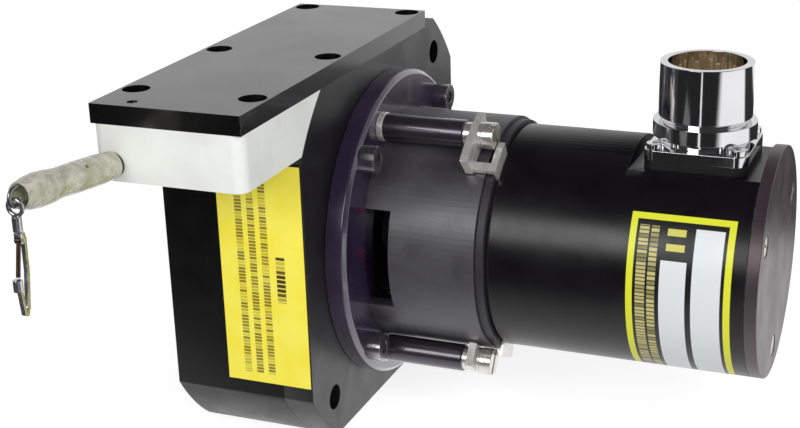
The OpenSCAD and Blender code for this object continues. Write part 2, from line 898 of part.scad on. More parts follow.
module encoder_shell() {
    // The narrow facets start this far round from the top
    facet_at = 37;
    facet_tilt = 30;
    color("#1a1a1c") in_frame() difference() {
        bar_x(body_r, body_x, body_end);
        difference() {
            bar_x(body_r - body_wall, body_x - 1, body_end + 1);
            // Roof that carries the connector
            box([flat_x - 2, -body_r, flat_z - roof_t], [body_end + 2, body_r, body_r]);
            // Bosses for the end cap's screws
            round_shaft(pillar_angles)
                bar_x(cap_boss_r, body_end - cap_boss_len, body_end + 2, cap_screw_r);
        }
        box([flat_x, -body_r, flat_z], [flat_end, body_r, body_r + 1]);
        bar_z(socket_r, connector_at, 0, flat_z - roof_t - 1, flat_z + 1);
        for (i = [-1, 1], j = [-1, 1])
            bar_z(1, connector_at + i * connector_screw_at, j * connector_screw_at,
                flat_z - roof_t + 1, flat_z + 1);
        // Narrow milled facets along both sides of the flat
        for (side = [0, 1]) mirror([0, side, 0])
            translate([flat_x, -body_r * sin(facet_at), body_r * cos(facet_at)]) rotate([facet_tilt, 0, 0])
                cube([flat_end - flat_x, 7, 5]);
        round_shaft(pillar_angles) bar_x(m3[0], body_end - cap_boss_len + 2, body_end + 1, cap_screw_r);
    }
}

module end_cap() {
    color("#6a6166") in_frame() difference() {
        bar_x(body_r, body_end, encoder_end);
        round_shaft(pillar_angles) {
            bar_x(m3[0], body_end - 1, encoder_end + 1, cap_screw_r);
            bar_x(cap_head_r + 0.2, encoder_end - cap_head_h, encoder_end + 1, cap_screw_r);
        }
    }
}

module end_cap_screws() {
    seat = encoder_end - cap_head_h;
    color("#c4c3c1") in_frame() round_shaft(pillar_angles) difference() {
        union() {
            bar_x(m3[0], seat - 9, seat, cap_screw_r);
            bar_x(cap_head_r, seat, seat + 1.4, cap_screw_r);
        }
        box([seat + 0.7, cap_screw_r - 2, -0.35], [seat + 2, cap_screw_r + 2, 0.35]);
    }
}

// ---- Connector ----

module connector_base(z0, h) {
    translate([connector_at, 0, z0]) difference() {
        linear_extrude(h) round_rect(2 * flange_half, 2 * flange_half, flange_corner);
        translate([0, 0, -1]) cylinder(r = socket_r, h = h + 2);
        for (i = [-1, 1], j = [-1, 1])
            translate([i * connector_screw_at, j * connector_screw_at, -1]) cylinder(r = 1.25, h = h + 2);
    }
}

module connector_gasket() {
    color("#141414") in_frame() connector_base(flat_z, gasket_t);
}

module connector_shell() {
    color("#e3e5e8") in_frame() {
        connector_base(connector_z, connector_flange_t);
        translate([connector_at, 0, 0]) difference() {
            union() {
                bar_z(neck_r + 0.2, 0, 0, neck_z - eps, thread_z + eps);
                bar_z(collar_r, 0, 0, collar_z, collar_z + collar_h);
                bar_z(connector_r, 0, 0, thread_z, thread_z + thread_h);
            }
            bar_z(socket_r, 0, 0, neck_z - 1, thread_z + thread_h + 1);
        }
    }
}

module connector_screws() {
    color("#cfd1d4") in_frame() for (i = [-1, 1], j = [-1, 1])
        translate([connector_at + i * connector_screw_at, j * connector_screw_at, 0]) difference() {
            union() {
                bar_z(1, 0, 0, flat_z - roof_t + 1.2, neck_z);
                bar_z(2.1, 0, 0, neck_z, neck_z + 1.4);
            }
            bar_z(0.7, 0, 0, neck_z + 0.6, neck_z + 2);
        }
}

module connector_insert() {
    color("#8a5a34") in_frame() difference() {
        bar_z(socket_r, connector_at, 0, neck_z, insert_z);
        // Key slot at the edge
        bar_z(0.9, connector_at, socket_r, insert_z - 2, insert_z + 1);
    }
}

module connector_pins() {
    function place(i) = i < 9 ? [6.8, i * 40] : [2.7, (i - 9) * 120 + 20];
    color("#d9b25a") in_frame() for (i = [0:11])
        bar_z(pin_r, connector_at + place(i)[0] * cos(place(i)[1]), place(i)[0] * sin(place(i)[1]),
            insert_z, insert_z + pin_h);
}

// ---- Labels ----

module front_label() {
    color("#e8d62a") in_frame()
        box([front_label_x[0], front_y - label_t, front_label_z[0]],
            [front_label_x[1], front_y, front_label_z[1]]);
}

module encoder_label() {
    color("#d7dc33") in_frame() sector_x(body_r, body_r + label_t, body_label_x[0], body_label_x[1],
        body_label_angles[0], body_label_angles[1]);
}

// ---- Wire end ----

// Along the sleeve: +Z runs out of the block, +Y stays up
module in_fitting() {
    translate(exit) rotate([90 - lean_up, 0, -lean_side]) children();
}

module draw_wire() {
    color("#b4b6b8") in_frame() {
        translate([wire_x, block_y + wire_travel + wire_tail, wire_z]) rotate([90, 0, 0])
            cylinder(r = wire_r, h = wire_travel + wire_tail + wire_r / 4, $fn = 24);
        in_fitting() translate([0, 0, -wire_r]) cylinder(r = wire_r, h = crimped_to + wire_r, $fn = 24);
    }
}

module wire_sleeve() {
    r = sleeve_d / 2;
    color("#c9cbb4") in_frame() in_fitting() difference() {
        rotate_extrude() polygon([[0, 0.7], [r - 0.65, 0.7], [r - 0.4, 5], [r - 0.35, 13],
            [r - 0.5, 19], [r - 0.1, 23], [r, sleeve_len - 5.5], [r - 0.3, sleeve_len - 2.5],
            [r - 0.9, sleeve_len], [0, sleeve_len]]);
        translate([0, 0, -1]) cylinder(r = wire_r, h = ferrule_from + 2);
        translate([0, 0, ferrule_from]) cylinder(r = sleeve_bore_r, h = ferrule_end - ferrule_from + eps);
        translate([0, 0, ferrule_end]) cylinder(r = loop_bore_r, h = sleeve_len);
        // Small hole where the crimp can be seen
        translate([0, 0, ferrule_from + 1]) rotate([0, 90, 45]) cylinder(r = 0.45, h = r + 1);
    }
}

module crimp_ferrule() {
    color("#8c8f94") in_frame() in_fitting() difference() {
        translate([0, 0, ferrule_from]) cylinder(r = ferrule_r, h = ferrule_end - ferrule_from);
        translate([0, 0, ferrule_from - 1]) cylinder(r = wire_r, h = crimped_to - ferrule_from + 1);
    }
}

module wire_loop() {
    color("#c2c4c8") in_frame() in_fitting() {
        for (side = [-1, 1]) translate([0, side * loop_r, loop_from])
            cylinder(r = loop_wire_r, h = loop_at - loop_from, $fn = 24);
        translate([0, -loop_r, loop_from]) rotate([-90, 0, 0])
            cylinder(r = loop_wire_r, h = 2 * loop_r, $fn = 24);
        translate([0, 0, loop_at]) rotate([90, 0, 90]) rotate_extrude(angle = 180)
            translate([loop_r, 0]) circle(r = loop_wire_r, $fn = 24);
        for (side = [-1, 1]) translate([0, side * loop_r, loop_from]) sphere(r = loop_wire_r, $fn = 24);
    }
}

// ---- Snap hook, drawn down from the pivot ----

module hook_eye() {
    color("#d6d9dd") in_frame() translate(pivot) {
        translate([0, 0, -eye_r]) rotate([90, 0, 0]) rotate_extrude()
            translate([eye_r, 0]) circle(r = eye_wire_r, $fn = 24);
        difference() {
            bar_z(barrel_r, 0, 0, hook_top, barrel_z);
            bar_z(stem_r + run_gap, 0, 0, hook_top - 1, barrel_z - 0.9);
        }
    }
}

// The hook hangs turned on its swivel
module in_hook() {
    in_frame() translate(pivot) rotate([0, 0, hook_turn]) children();
}

module hook_body() {
    path = [[0, head_top - 0.5], [1.5, head_top - 0.8], [spine_y, head_top - 2],
        [spine_y - 0.2, nose_z], [spine_y - 0.8, nose_z - nose_h], [spine_y - 1.8, hook_end + 1.8],
        [spine_y - 2.7, hook_end + hook_wire_r], [spine_y - 3.8, hook_end + 1.2],
        [nose_y + 0.5, nose_z - nose_h + 0.4]];
    color("#d6d9dd") in_hook() difference() {
        union() {
            bar_z(stem_r, 0, 0, head_top - 0.5, barrel_z - 1.1);
            bar_z(swivel_head_r, 0, 0, head_top - swivel_head_h, head_top);
            rotate([90, 0, 90]) linear_extrude(2 * hook_wire_r - 0.1, center = true)
                bar_path(path, 2 * hook_wire_r);
            bar_z(nose_r, 0, nose_y, nose_z - nose_h, nose_z);
        }
        bar_x(gate_pin_r, -2, 2, gate_y, gate_z);
        box([-slot_half, gate_y - 3, head_top - swivel_head_h - 2], [slot_half, 0.75, gate_z + 0.75]);
    }
}

module hook_gate() {
    color("#6b4a38") in_hook() translate([0, gate_y, gate_z]) difference() {
        union() {
            rotate([180 - gate_lean, 0, 0]) cylinder(r = gate_r, h = gate_len);
            bar_x(gate_knuckle_r, -gate_knuckle_half, gate_knuckle_half);
        }
        bar_x(gate_pin_r + 0.04, -2, 2);
    }
}

module gate_pin() {
    color("#c2c4c8") in_hook() bar_x(gate_pin_r, -gate_pin_half, gate_pin_half, gate_y, gate_z);
}

drum_housing();
housing_cover();
cover_screws();
base_plate();
plate_screws();
guide_block();
block_screws();
dowel_pin();
guide_bush();
spring_case();
power_spring();
spring_arbor();
wire_drum();
drum_shaft();
drum_pin();
wound_wire();
draw_wire();
drum_bearing_outers();
drum_bearing_inners();
drum_bearing_balls();
bell_flange();
flange_screws();
bell_ring();
post_washers();
standoff_posts();
clamp_spacers();
servo_clamps();
clamp_screws();
coupling_hub_drum();
coupling_spider();
coupling_hub_encoder();
coupling_screws();
encoder_flange();
encoder_shaft();
encoder_bearing_outers();
encoder_bearing_inners();
encoder_bearing_balls();
code_disc();
disc_hub();
read_head();
sensor_board();
main_board();
board_pillars();
encoder_shell();
end_cap();
end_cap_screws();
connector_gasket();
connector_shell();
connector_screws();
connector_insert();
connector_pins();
front_label();
encoder_label();
wire_sleeve();
crimp_ferrule();
wire_loop();
hook_eye();
hook_body();
hook_gate();
gate_pin();
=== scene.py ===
"""Draw wire encoder: a spring-wound wire drum in a black housing turns a shaft encoder.

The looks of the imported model, put together piece by piece. Lengths are in metres.
"""

import json
import math

import bmesh
import bpy
from mathutils import Matrix, Vector


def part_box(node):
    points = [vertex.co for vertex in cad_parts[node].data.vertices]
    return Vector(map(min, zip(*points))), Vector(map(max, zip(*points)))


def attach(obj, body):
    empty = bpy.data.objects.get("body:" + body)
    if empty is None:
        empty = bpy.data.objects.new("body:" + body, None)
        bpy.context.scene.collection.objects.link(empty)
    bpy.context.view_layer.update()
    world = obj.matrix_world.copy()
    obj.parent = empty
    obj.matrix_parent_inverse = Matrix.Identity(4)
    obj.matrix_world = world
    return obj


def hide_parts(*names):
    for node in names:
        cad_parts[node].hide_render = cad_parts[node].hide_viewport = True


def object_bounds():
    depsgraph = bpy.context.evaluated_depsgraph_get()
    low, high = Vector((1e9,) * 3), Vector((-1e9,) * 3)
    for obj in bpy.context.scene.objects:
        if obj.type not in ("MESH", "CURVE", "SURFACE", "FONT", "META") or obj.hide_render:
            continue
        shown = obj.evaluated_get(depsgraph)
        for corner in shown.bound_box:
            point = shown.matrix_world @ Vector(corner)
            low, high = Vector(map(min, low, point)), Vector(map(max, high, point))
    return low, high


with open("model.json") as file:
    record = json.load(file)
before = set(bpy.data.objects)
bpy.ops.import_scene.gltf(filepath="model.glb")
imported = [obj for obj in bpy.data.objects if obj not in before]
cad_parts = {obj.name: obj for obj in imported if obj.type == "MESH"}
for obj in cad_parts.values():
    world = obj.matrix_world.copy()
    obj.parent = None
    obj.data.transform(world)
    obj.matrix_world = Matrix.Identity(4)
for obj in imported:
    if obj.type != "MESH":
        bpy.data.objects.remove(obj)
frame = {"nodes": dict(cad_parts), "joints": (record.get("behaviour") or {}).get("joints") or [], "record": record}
cad_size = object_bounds()
mm = 0.001

# ---- Camera ----
# A long lens looks down on the wire side and the encoder's end. It rolls a little, as a
# hand-held one does.
camera_place = Vector((174.3, -359.5, 90.6)) * mm
camera_turn = math.radians(22.93)
camera_drop = math.radians(19.76)
camera_roll = math.radians(1.86)
lens_length = 68.78
film_width = 36
near_clip = 10 * mm

camera_data = bpy.data.cameras.new("camera")
camera_data.lens = lens_length
camera_data.sensor_width = film_width
camera_data.clip_start = near_clip
camera = bpy.data.objects.new("camera", camera_data)
camera.matrix_world = (
    Matrix.Translation(camera_place)
    @ Matrix.Rotation(camera_turn, 4, "Z")
    @ Matrix.Rotation(math.pi / 2 - camera_drop, 4, "X")
    @ Matrix.Rotation(-camera_roll, 4, "Z")
)
bpy.context.scene.collection.objects.link(camera)
bpy.context.scene.camera = camera
bpy.context.scene.view_settings.view_transform = "Standard"


# ---- Studio ----
# A white table under and behind the object, dark cloth in front of it, one soft box, and a
# fill from the side that gloss doesn't show. To the eye the table is white, with the
# object's shadow on it.
def calc(tree, operation, first, second=0.0, third=0.0):
    """One sum in a node tree. Each term is a number or another node's output."""
    node = tree.nodes.new("ShaderNodeMath")
    node.operation = operation
    for socket, term in zip(node.inputs, (first, second, third)):
        if isinstance(term, (int, float)):
            socket.default_value = term
        else:
            tree.links.new(term, socket)
    return node.outputs[0]


def ease(tree, value, low, high, start=0.0, end=1.0):
    """Turns low to high into start to end, smoothly, and stays there outside."""
    node = tree.nodes.new("ShaderNodeMapRange")
    node.interpolation_type = "SMOOTHSTEP"
    tree.links.new(value, node.inputs[0])
    for socket, number in zip(node.inputs[1:5], (low, high, start, end)):
        socket.default_value = number
    return node.outputs[0]


def split(tree, vector):
    """The three parts of a vector."""
    node = tree.nodes.new("ShaderNodeSeparateXYZ")
    tree.links.new(vector, node.inputs[0])
    return node.outputs


def object_place(tree):
    """Where a point of the piece is, in metres."""
    return tree.nodes.new("ShaderNodeTexCoord").outputs["Object"]


# In gloss the cloth is dark and the table is white past its edge, which slants forward at the
# right. A narrow bright gap and a small dim panel break the cloth, and a dark band lies behind
# the object.
table_white = 0.82
table_seen = 0.5
table_glow = 0.8
table_half = 3.0
table_drop = 0.5 * mm
cloth_dark = 0.02
cloth_front = 0.005
cloth_soft = 0.05
corner_x = 0.1
corner_slope = 0.75
gap_x = 0.096
gap_half = 0.01
gap_lean = 0.02
gap_soft = 2 * mm
shade_from = 0.142
shade_to = 0.322
shade_soft = 0.015
shade_level = 0.03
panel_x = -0.06
panel_y = -0.24
panel_half = 0.04
panel_soft_inside = 8 * mm
panel_soft_outside = 4 * mm
panel_level = 0.16

table_shape = bmesh.new()
bmesh.ops.create_grid(table_shape, x_segments=1, y_segments=1, size=table_half)
table_mesh = bpy.data.meshes.new("table")
table_shape.to_mesh(table_mesh)
table_shape.free()
table_mesh.transform(Matrix.Translation((0, 0, cad_size[0][2] - table_drop)))
table = bpy.data.objects.new("table", table_mesh)
bpy.context.scene.collection.objects.link(table)

table_finish = bpy.data.materials.new("table_white")
table_finish.use_nodes = True
tree = table_finish.node_tree
tree.nodes.clear()
light_path = tree.nodes.new("ShaderNodeLightPath").outputs
place = split(tree, object_place(tree))
right_of_corner = calc(tree, "MAXIMUM", place[0], corner_x)
past_corner = calc(tree, "MULTIPLY_ADD", right_of_corner, corner_slope, place[1])
white_cloth = ease(tree, past_corner, cloth_front - cloth_soft, cloth_front + cloth_soft, cloth_dark, 1.0)
across_gap = calc(tree, "MULTIPLY_ADD", place[1], gap_lean, place[0])
from_gap = calc(tree, "ABSOLUTE", calc(tree, "SUBTRACT", across_gap, gap_x))
in_gap = ease(tree, from_gap, gap_half - gap_soft, gap_half + gap_soft, 1.0, 0.0)
before_shade = ease(tree, place[1], shade_from - shade_soft, shade_from + shade_soft, 1.0, shade_level)
behind_shade = ease(tree, place[1], shade_to - shade_soft, shade_to + shade_soft)
across_panel = calc(tree, "ABSOLUTE", calc(tree, "SUBTRACT", place[0], panel_x))
along_panel = calc(tree, "ABSOLUTE", calc(tree, "SUBTRACT", place[1], panel_y))
from_panel = calc(tree, "MAXIMUM", across_panel, along_panel)
panel = ease(
    tree, from_panel, panel_half - panel_soft_inside, panel_half + panel_soft_outside, panel_level, 0.0
)
bright = calc(tree, "MAXIMUM", calc(tree, "MAXIMUM", white_cloth, in_gap), panel)
seen_in_gloss = calc(tree, "MULTIPLY", bright, calc(tree, "MAXIMUM", before_shade, behind_shade))
gloss = calc(tree, "MAXIMUM", light_path["Is Glossy Ray"], light_path["Is Transmission Ray"])
straight = light_path["Is Camera Ray"]
diffuse = tree.nodes.new("ShaderNodeBsdfDiffuse")
seen_white = calc(tree, "MULTIPLY_ADD", straight, table_seen - table_white, table_white)
grey = tree.nodes.new("ShaderNodeCombineColor")
for socket in grey.inputs:
    tree.links.new(calc(tree, "MULTIPLY", seen_white, calc(tree, "SUBTRACT", 1.0, gloss)), socket)
tree.links.new(grey.outputs[0], diffuse.inputs["Color"])
glow = tree.nodes.new("ShaderNodeEmission")
camera_glow = calc(tree, "MULTIPLY", straight, table_glow)
tree.links.new(calc(tree, "MULTIPLY_ADD", gloss, seen_in_gloss, camera_glow), glow.inputs["Strength"])
both = tree.nodes.new("ShaderNodeAddShader")
tree.links.new(diffuse.outputs[0], both.inputs[0])
tree.links.new(glow.outputs[0], both.inputs[1])
out = tree.nodes.new("ShaderNodeOutputMaterial")
tree.links.new(both.outputs[0], out.inputs["Surface"])
table_mesh.materials.append(table_finish)
# Only a ray that lands on the table knows how it came, so the table isn't sampled as a lamp
table_finish.cycles.emission_sampling = "NONE"

# The room: even light all round, white to the eye, and in gloss a pale backdrop behind, with
# dark above and in front
room_light = 0.336
room_dark = 0.04
backdrop_level = 0.8
backdrop_top = 0.85
backdrop_fade = 0.5
backdrop_side = -0.2
side_soft = 0.15

world = bpy.data.worlds.new("room")
bpy.context.scene.world = world
world.use_nodes = True
tree = world.node_tree
tree.nodes.clear()
light_path = tree.nodes.new("ShaderNodeLightPath").outputs
look = split(tree, tree.nodes.new("ShaderNodeTexCoord").outputs["Generated"])
backward = ease(tree, look[1], backdrop_side - side_soft, backdrop_side + side_soft)
below_top = ease(tree, look[2], backdrop_top - backdrop_fade, backdrop_top, 1.0, 0.0)
lit = calc(tree, "MULTIPLY", calc(tree, "MULTIPLY", backward, below_top), backdrop_level)
backdrop = calc(tree, "MAXIMUM", lit, room_dark)
gloss = calc(tree, "MAXIMUM", light_path["Is Glossy Ray"], light_path["Is Transmission Ray"])
level = calc(tree, "MULTIPLY_ADD", gloss, calc(tree, "SUBTRACT", backdrop, room_light), room_light)
level = calc(tree, "MAXIMUM", level, light_path["Is Camera Ray"])
sky = tree.nodes.new("ShaderNodeBackground")
sky.inputs["Color"].default_value = (1, 1, 1, 1)
tree.links.new(level, sky.inputs["Strength"])
out = tree.nodes.new("ShaderNodeOutputWorld")
tree.links.new(sky.outputs[0], out.inputs["Surface"])
world.cycles.sampling_method = "NONE"


def soft_box(name, azimuth, height, distance, width, tall, watts, in_gloss=True):
    """A flat lamp that faces the middle of the object, from a compass angle and a height in degrees."""
    lamp = bpy.data.lights.new(name, "AREA")
    lamp.shape = "RECTANGLE"
    lamp.size = width
    lamp.size_y = tall
    lamp.energy = watts
    holder = bpy.data.objects.new(name, lamp)
    middle = (Vector(cad_size[0]) + Vector(cad_size[1])) / 2
    across, up = math.radians(azimuth), math.radians(height)
    toward = Vector((math.cos(up) * math.cos(across), math.cos(up) * math.sin(across), math.sin(up)))
    turn = toward.to_track_quat("Z", "Y").to_matrix().to_4x4()
    holder.matrix_world = Matrix.Translation(middle + toward * distance) @ turn
    holder.visible_glossy = in_gloss
    holder.visible_camera = False
    bpy.context.scene.collection.objects.link(holder)


soft_box("front_box", azimuth=-105, height=25, distance=0.7, width=0.34, tall=0.26, watts=1.5)
soft_box(
    "side_fill", azimuth=-35, height=30, distance=0.8, width=0.5, tall=0.5, watts=3.6,
    in_gloss=False,
)


# ---- Drum housing ----
# The hollow body that the wire drum turns in: an aluminium block milled to a rounded outline,
# bead blasted and anodised black. Its edges are broken by hand.
def colour_of(red, green, blue):
    """A colour picked on a screen, as the light it stands for."""

    def light(part):
        part /= 255
        return part / 12.92 if part < 0.04045 else ((part + 0.055) / 1.055) ** 2.4

    return (light(red), light(green), light(blue), 1.0)


def new_group(name, inputs, outputs):
    """An empty shader node group, with its inner input sockets and its output node."""
    group = bpy.data.node_groups.new(name, "ShaderNodeTree")
    for title, kind in inputs.items():
        group.interface.new_socket(name=title, in_out="INPUT", socket_type=kind)
    for title in outputs:
        group.interface.new_socket(name=title, in_out="OUTPUT", socket_type="NodeSocketFloat")
    entry = group.nodes.new("NodeGroupInput")
    return group, entry.outputs, group.nodes.new("NodeGroupOutput")


def noise(tree, vector, scale, detail=3.0, rough=0.6, bend=0.0):
    """Cloudy noise between 0 and 1. The scale is a number or another node's output."""
    node = tree.nodes.new("ShaderNodeTexNoise")
    tree.links.new(vector, node.inputs["Vector"])
    if isinstance(scale, (int, float)):
        node.inputs["Scale"].default_value = scale
    else:
        tree.links.new(scale, node.inputs["Scale"])
    node.inputs["Detail"].default_value = detail
    node.inputs["Roughness"].default_value = rough
    node.inputs["Distortion"].default_value = bend
    return node.outputs[0]


def use_group(tree, group, terms):
    """Places a node group and sets its inputs, each a number or another node's output."""
    node = tree.nodes.new("ShaderNodeGroup")
    node.node_tree = group
    for title, term in terms.items():
        if isinstance(term, (int, float)):
            node.inputs[title].default_value = term
        else:
            tree.links.new(term, node.inputs[title])
    return node.outputs


# Fine: the grain of the surface. Cloudy: slow change from handling and plating.
skin_inputs = {"Place": "NodeSocketVector", "Grain": "NodeSocketFloat", "Cloud": "NodeSocketFloat"}
cloud_low = 0.32
cloud_high = 0.68
skin_group, entry, leave = new_group("skin", skin_inputs, ("Fine", "Cloudy"))
fine = noise(skin_group, entry["Place"], calc(skin_group, "DIVIDE", 1.0, entry["Grain"]))
cloud_scale = calc(skin_group, "DIVIDE", 1.0, entry["Cloud"])
cloudy = noise(skin_group, entry["Place"], cloud_scale, detail=4.0, rough=0.55, bend=0.4)
skin_group.links.new(fine, leave.inputs["Fine"])
skin_group.links.new(ease(skin_group, cloudy, cloud_low, cloud_high), leave.inputs["Cloudy"])

# Wear and painted glint: high where an edge is sharp, broken up in patches as rubbed corners are. Most finishes
# use it for edge wear; the flange and its screws use it for painted glints.
patch_scale = 900.0
patch_low = 0.35
patch_high = 0.75
bend_seen = 0.01
bend_full = 0.16
bend_samples = 4
wear_and_glint_group, entry, leave = new_group(
    "edge_wear", {"Place": "NodeSocketVector", "Reach": "NodeSocketFloat"}, ("Wear",)
)
round_edge = wear_and_glint_group.nodes.new("ShaderNodeBevel")
round_edge.samples = bend_samples
wear_and_glint_group.links.new(entry["Reach"], round_edge.inputs["Radius"])
true_side = wear_and_glint_group.nodes.new("ShaderNodeNewGeometry").outputs["Normal"]
turned = wear_and_glint_group.nodes.new("ShaderNodeVectorMath")
turned.operation = "DOT_PRODUCT"
wear_and_glint_group.links.new(round_edge.outputs[0], turned.inputs[0])
wear_and_glint_group.links.new(true_side, turned.inputs[1])
bent = calc(wear_and_glint_group, "SUBTRACT", 1.0, turned.outputs["Value"])
patches = ease(wear_and_glint_group, noise(wear_and_glint_group, entry["Place"], patch_scale), patch_low, patch_high)
wear_and_glint = calc(wear_and_glint_group, "MULTIPLY", ease(wear_and_glint_group, bent, bend_seen, bend_full), patches)
wear_and_glint_group.links.new(wear_and_glint, leave.inputs["Wear"])

# Rings: the fine lines that a lathe leaves, round an axis along X.
turning_group, entry, leave = new_group(
    "turning", {"Place": "NodeSocketVector", "Pitch": "NodeSocketFloat"}, ("Rings",)
)
axis_place = split(turning_group, entry["Place"])
up_squared = calc(turning_group, "MULTIPLY", axis_place[2], axis_place[2])
both_squared = calc(turning_group, "MULTIPLY_ADD", axis_place[1], axis_place[1], up_squared)
from_axis = calc(turning_group, "SQRT", both_squared)
ring_place = turning_group.nodes.new("ShaderNodeCombineXYZ")
turning_group.links.new(axis_place[0], ring_place.inputs[0])
turning_group.links.new(from_axis, ring_place.inputs[1])
ring_scale = calc(turning_group, "DIVIDE", 1.0, entry["Pitch"])
rings = noise(turning_group, ring_place.outputs[0], ring_scale, detail=2.0)
turning_group.links.new(rings, leave.inputs["Rings"])


def tint(tree, share, first, second):
    """Mixes two colours, each four numbers or another node's output."""
    node = tree.nodes.new("ShaderNodeMix")
    node.data_type = "RGBA"
    if isinstance(share, (int, float)):
        node.inputs[0].default_value = share
    else:
        tree.links.new(share, node.inputs[0])
    for socket, colour in ((node.inputs[6], first), (node.inputs[7], second)):
        if isinstance(colour, tuple):
            socket.default_value = colour
        else:
            tree.links.new(colour, socket)
    return node.outputs[2]


def new_finish(name, slot=None):
    """A new material for one of the record's slots, its node tree and its shader."""
    finish = bpy.data.materials.new(name + "_look")
    finish["slot"] = slot or name
    finish.use_nodes = True
    return finish, finish.node_tree, finish.node_tree.nodes["Principled BSDF"]


def relief(tree, shader, height, depth):
    """Raises the surface by a height between 0 and 1, times a depth in metres."""
    node = tree.nodes.new("ShaderNodeBump")
    node.inputs["Distance"].default_value = depth
    tree.links.new(height, node.inputs["Height"])
    tree.links.new(node.outputs[0], shader.inputs["Normal"])


joints = {joint["name"]: joint for joint in frame["joints"]}
shaft_axis = Vector(joints["drum_spin"]["pos_m"])
wear_and_glint_reach = 0.35 * mm
ring_height = 1.5
ringed_grain = 0.5


def surface(
    name, colour, clouded, rough, metallic=0.0, spread=0.1, grain=0.35 * mm, depth=0.006 * mm,
    cloud=11 * mm, lathe=None, worn_and_glint=None, worn_and_glint_share=0.5, coat=0.0, shine=0.5, cast=None, index=1.5,
    slot=None,
):
    """A solid finish. Its tone, gloss and grain change over it, with lathe rings, and with a pale edge colour that
    is wear on most finishes and a painted glint on some.
    """
    finish, tree, shader = new_finish(name, slot)
    place = object_place(tree)
    skin = use_group(tree, skin_group, {"Place": place, "Grain": grain, "Cloud": cloud})
    tone = tint(tree, skin["Cloudy"], colour_of(*colour), colour_of(*clouded))
    height = skin["Fine"]
    if lathe:
        centred = tree.nodes.new("ShaderNodeMapping")
        centred.inputs["Location"].default_value = -shaft_axis
        tree.links.new(place, centred.inputs["Vector"])
        turned = use_group(tree, turning_group, {"Place": centred.outputs[0], "Pitch": lathe})
        grain_left = calc(tree, "MULTIPLY", height, ringed_grain)
        height = calc(tree, "MULTIPLY_ADD", turned["Rings"], ring_height, grain_left)
    # Pale edges: wear on most finishes, a painted glint on the flange and its screws.
    if worn_and_glint:
        edge = use_group(tree, wear_and_glint_group, {"Place": place, "Reach": wear_and_glint_reach})
        share = calc(tree, "MULTIPLY", edge["Wear"], worn_and_glint_share)
        tone = tint(tree, share, tone, colour_of(*worn_and_glint))
    tree.links.new(tone, shader.inputs["Base Color"])
    gloss_change = calc(tree, "ADD", skin["Cloudy"], height)
    gloss = calc(tree, "MULTIPLY_ADD", gloss_change, spread, rough - spread)
    tree.links.new(gloss, shader.inputs["Roughness"])
    relief(tree, shader, height, depth)
    shader.inputs["Metallic"].default_value = metallic
    shader.inputs["Coat Weight"].default_value = coat
    shader.inputs["Specular IOR Level"].default_value = shine
    shader.inputs["IOR"].default_value = index
    if cast:
        shader.inputs["Specular Tint"].default_value = colour_of(*cast)
    return finish


bodies = frame["record"]["behaviour"]["bodies"]


def home_body(node):
    """The body that a CAD node rides on."""
    return next(body for body, members in bodies.items() if node in members)


def as_piece(name, mesh, body, finish, nodes):
    """Makes a finished mesh a piece that rides on a body and stands for its CAD nodes."""
    piece = bpy.data.objects.new(name, mesh)
    bpy.context.scene.collection.objects.link(piece)
    mesh.materials.clear()
    mesh.materials.append(finish)
    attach(piece, body)
    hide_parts(*nodes)
    return piece


weld_gap = 0.001 * mm
flat_angle = math.radians(0.4)


def softened(node, name, finish, edge, segments=2, sharp=30):
    """A copy of a CAD node, its triangles joined and its sharp edges eased, that stands for the node."""
    shape = bmesh.new()
    shape.from_mesh(frame["nodes"][node].data)
    bmesh.ops.remove_doubles(shape, verts=shape.verts, dist=weld_gap)
    bmesh.ops.dissolve_limit(shape, angle_limit=flat_angle, verts=shape.verts, edges=shape.edges)
    mesh = bpy.data.meshes.new(name)
    shape.to_mesh(mesh)
    shape.free()
    mesh.shade_smooth()
    mesh.set_sharp_from_angle(angle=math.radians(sharp))
    piece = as_piece(name, mesh, home_body(node), finish, [node])
    eased = piece.modifiers.new("eased_edges", "BEVEL")
    eased.width = edge
    eased.segments = segments
    eased.limit_method = "ANGLE"
    eased.angle_limit = math.radians(sharp)
    eased.harden_normals = True
    return piece


def dress(finish, *nodes):
    """Gives CAD nodes whose shape is right a finish."""
    for node in nodes:
        slots = frame["nodes"][node].material_slots
        if slots:
            slots[0].material = finish
        else:
            frame["nodes"][node].data.materials.append(finish)


black_housing = surface(
    "black_housing", (9, 7, 10), (13, 11, 14), rough=0.34, worn_and_glint=(120, 116, 120), worn_and_glint_share=0.25
)
softened("drum_housing", "housing_body", black_housing, edge=0.4 * mm, segments=3)

# ---- Housing cover ----
# The thick lid that closes the drum's chamber, from the same black bar, with its cap screws
# sunk in deep bores.
black_lid = surface(
    "black_lid", (12, 10, 13), (16, 14, 17), rough=0.4, worn_and_glint=(120, 116, 120), worn_and_glint_share=0.25,
    shine=1.0, slot="black_housing",
)
dark_steel = surface(
    "dark_steel", (92, 88, 94), (118, 114, 118), rough=0.17, metallic=0.95, spread=0.06,
    grain=0.2 * mm, worn_and_glint=(190, 186, 184), worn_and_glint_share=0.7,
)
softened("housing_cover", "cover_lid", black_lid, edge=0.5 * mm, segments=3)
softened("cover_screws", "cover_cap_screws", dark_steel, edge=0.15 * mm)

# ---- Base plate ----
# The flat plate that bolts to the machine: rolled aluminium, cut, drilled and satin anodised.
black_plate = surface(
    "black_plate", (10, 8, 10), (15, 13, 15), rough=0.3, spread=0.06, cloud=26 * mm,
    worn_and_glint=(130, 126, 128), worn_and_glint_share=0.25, coat=0.5,
)
softened("base_plate", "mounting_plate", black_plate, edge=0.35 * mm, segments=3)
softened("plate_screws", "plate_cap_screws", dark_steel, edge=0.15 * mm)

